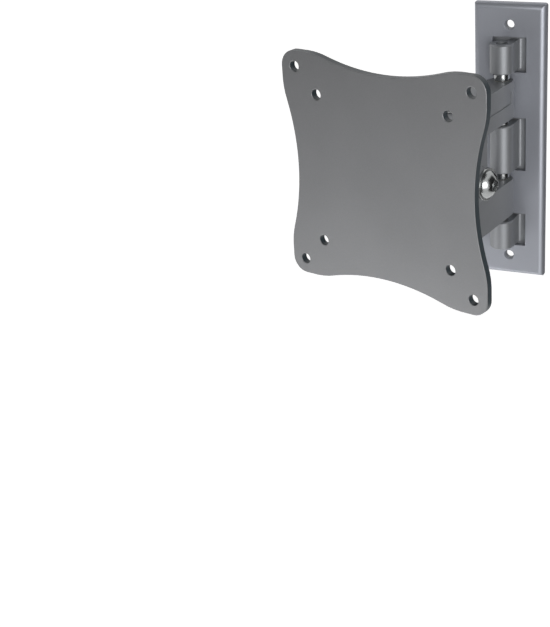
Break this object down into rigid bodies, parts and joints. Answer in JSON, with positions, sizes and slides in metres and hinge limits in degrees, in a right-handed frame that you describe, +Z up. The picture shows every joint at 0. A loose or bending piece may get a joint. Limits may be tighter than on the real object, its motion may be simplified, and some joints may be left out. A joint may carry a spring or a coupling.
{
  "type": "monitor wall mount",
  "caption": "Articulating wall mount: a narrow wall plate with a knuckle hinge, a short arm, a swivel head and a tilting bracket that carries a waisted square screen plate.",
  "frame": {"origin": "middle of the back face of the wall plate, the face that lies on the wall", "axes": "+Y into the wall, +Z up along the tall wall plate, +X to the right of someone facing the wall"},
  "size_m": [0.1128, 0.1271, 0.15],
  "materials": {
    "cast_paint": "satin silver grey powder coat on a casting",
    "cover_paint": "satin silver grey paint with a faint violet cast",
    "sheet_paint": "satin silver grey powder coat on sheet steel",
    "plate_paint": "satin silver grey powder coat, finely textured",
    "bright_steel": "ground steel",
    "zinc": "bright zinc plate",
    "nylon": "natural nylon",
    "black_nylon": "black nylon"
  },
  "bodies": {
    "wall": {"wall_base": "cast_paint", "wall_cover": "cover_paint", "hinge_pin": "bright_steel", "spacer_ring_1": "bright_steel", "spacer_ring_2": "bright_steel", "spacer_ring_3": "bright_steel", "spacer_ring_4": "bright_steel"},
    "arm": {"arm": "cast_paint", "finger_bush_upper": "nylon", "finger_bush_lower": "nylon", "swivel_bush_upper": "nylon", "swivel_bush_lower": "nylon"},
    "head": {"yoke": "cast_paint", "swivel_bolt": "zinc", "swivel_washer": "zinc", "swivel_nut": "zinc"},
    "screen": {"screen_plate": "plate_paint", "tilt_bracket": "sheet_paint", "tilt_bolt": "zinc", "tilt_washer_right": "zinc", "tilt_washer_left": "zinc", "tilt_spring_washer": "zinc", "tilt_nut": "zinc", "friction_washer_right": "black_nylon", "friction_washer_left": "black_nylon"}
  },
  "joints": [
    {"name": "arm_swing", "type": "hinge", "parent": "wall", "child": "arm", "pos_m": [-0.0019, -0.011, 0], "axis": [0, 0, 1], "range_deg": [-50, 80]},
    {"name": "head_swivel", "type": "hinge", "parent": "arm", "child": "head", "pos_m": [-0.01456, -0.05439, 0], "axis": [0, 0, 1], "range_deg": [-60, 60]},
    {"name": "tilt", "type": "hinge", "parent": "head", "child": "screen", "pos_m": [-0.01972, -0.07413, 0.006], "axis": [0.9674, -0.2531, 0], "range_deg": [-15, 20]}
  ]
}
